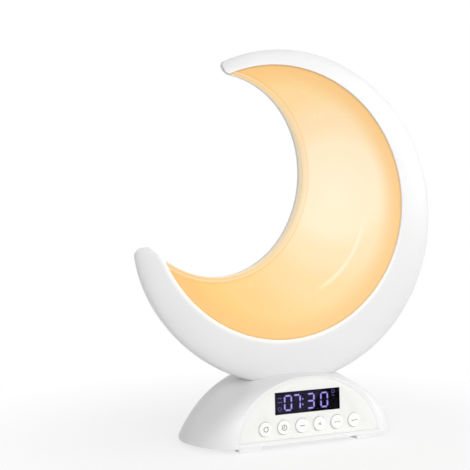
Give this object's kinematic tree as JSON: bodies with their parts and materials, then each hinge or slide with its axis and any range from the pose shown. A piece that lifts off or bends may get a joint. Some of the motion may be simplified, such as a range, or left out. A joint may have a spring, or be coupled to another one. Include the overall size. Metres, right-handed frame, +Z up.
{
  "type": "sunrise alarm clock",
  "caption": "Crescent moon lamp with a dished glowing panel standing on an arched white clock base with a small dark display and a row of round push buttons.",
  "frame": {"origin": "centre of the plane the clock rests on, under the middle of the base", "axes": "+Z up, the front with display and buttons faces -Y, +X to the right seen from the front"},
  "size_m": [0.1975, 0.0781, 0.2327],
  "materials": {
    "shell_white": "glossy white moulding",
    "fascia_white": "fine matte warm white",
    "button_white": "satin white",
    "panel_glow": "milky glossy diffuser, lit warm from behind",
    "smoked_window": "smoked clear lens",
    "display_black": "black display block",
    "digit_violet": "lit violet segments",
    "sign_grey": "dim violet grey signs",
    "board_white": "white solder resist",
    "led_yellow": "phosphor yellow",
    "board_green": "green solder resist",
    "steel_screw": "zinc plated",
    "switch_black": "black moulding",
    "plunger_grey": "grey moulding",
    "chip_black": "black moulded package",
    "cell_steel": "bright steel",
    "pin_brass": "plated brass",
    "lead_grey": "soft insulated lead",
    "pad_rubber": "soft pale rubber"
  },
  "bodies": {
    "clock": {"backup_cell": "cell_steel", "base_screws": "steel_screw", "base_shell": "shell_white", "board_chips": "chip_black", "bottom_plate": "shell_white", "cell_holder": "switch_black", "dc_jack": "switch_black", "dc_jack_pin": "pin_brass", "display_block": "display_black", "display_digits": "digit_violet", "display_signs": "sign_grey", "display_window": "smoked_window", "foot_pads": "pad_rubber", "front_board": "board_green", "front_board_screws": "steel_screw", "front_fascia": "fascia_white", "lead_socket": "switch_black", "led_board": "board_white", "led_board_screws": "steel_screw", "led_chips": "led_yellow", "light_panel": "panel_glow", "main_board": "board_green", "main_board_screws": "steel_screw", "moon_back": "shell_white", "moon_back_screws": "steel_screw", "moon_lead": "lead_grey", "moon_lead_plug": "switch_black", "moon_shell": "shell_white", "neck_screws": "steel_screw", "speaker_cone": "switch_black", "speaker_frame": "switch_black", "speaker_magnet": "cell_steel", "switch_housings": "switch_black"},
    "button_1": {"button_1": "button_white", "switch_plunger_1": "plunger_grey"},
    "button_2": {"button_2": "button_white", "switch_plunger_2": "plunger_grey"},
    "button_3": {"button_3": "button_white", "switch_plunger_3": "plunger_grey"},
    "button_4": {"button_4": "button_white", "switch_plunger_4": "plunger_grey"},
    "button_5": {"button_5": "button_white", "switch_plunger_5": "plunger_grey"},
    "button_6": {"button_6": "button_white", "switch_plunger_6": "plunger_grey"}
  },
  "joints": [
    {"name": "button_1_press", "type": "slide", "parent": "clock", "child": "button_1", "axis": [0, 0.999, -0.0436], "range_m": [0, 0.0008], "stiffness_N_per_m": 900, "springref_m": -0.0006},
    {"name": "button_2_press", "type": "slide", "parent": "clock", "child": "button_2", "axis": [0, 0.999, -0.0436], "range_m": [0, 0.0008], "stiffness_N_per_m": 900, "springref_m": -0.0006},
    {"name": "button_3_press", "type": "slide", "parent": "clock", "child": "button_3", "axis": [0, 0.999, -0.0436], "range_m": [0, 0.0008], "stiffness_N_per_m": 900, "springref_m": -0.0006},
    {"name": "button_4_press", "type": "slide", "parent": "clock", "child": "button_4", "axis": [0, 0.999, -0.0436], "range_m": [0, 0.0008], "stiffness_N_per_m": 900, "springref_m": -0.0006},
    {"name": "button_5_press", "type": "slide", "parent": "clock", "child": "button_5", "axis": [0, 0.999, -0.0436], "range_m": [0, 0.0008], "stiffness_N_per_m": 900, "springref_m": -0.0006},
    {"name": "button_6_press", "type": "slide", "parent": "clock", "child": "button_6", "axis": [0, 0.999, -0.0436], "range_m": [0, 0.0008], "stiffness_N_per_m": 900, "springref_m": -0.0006}
  ]
}
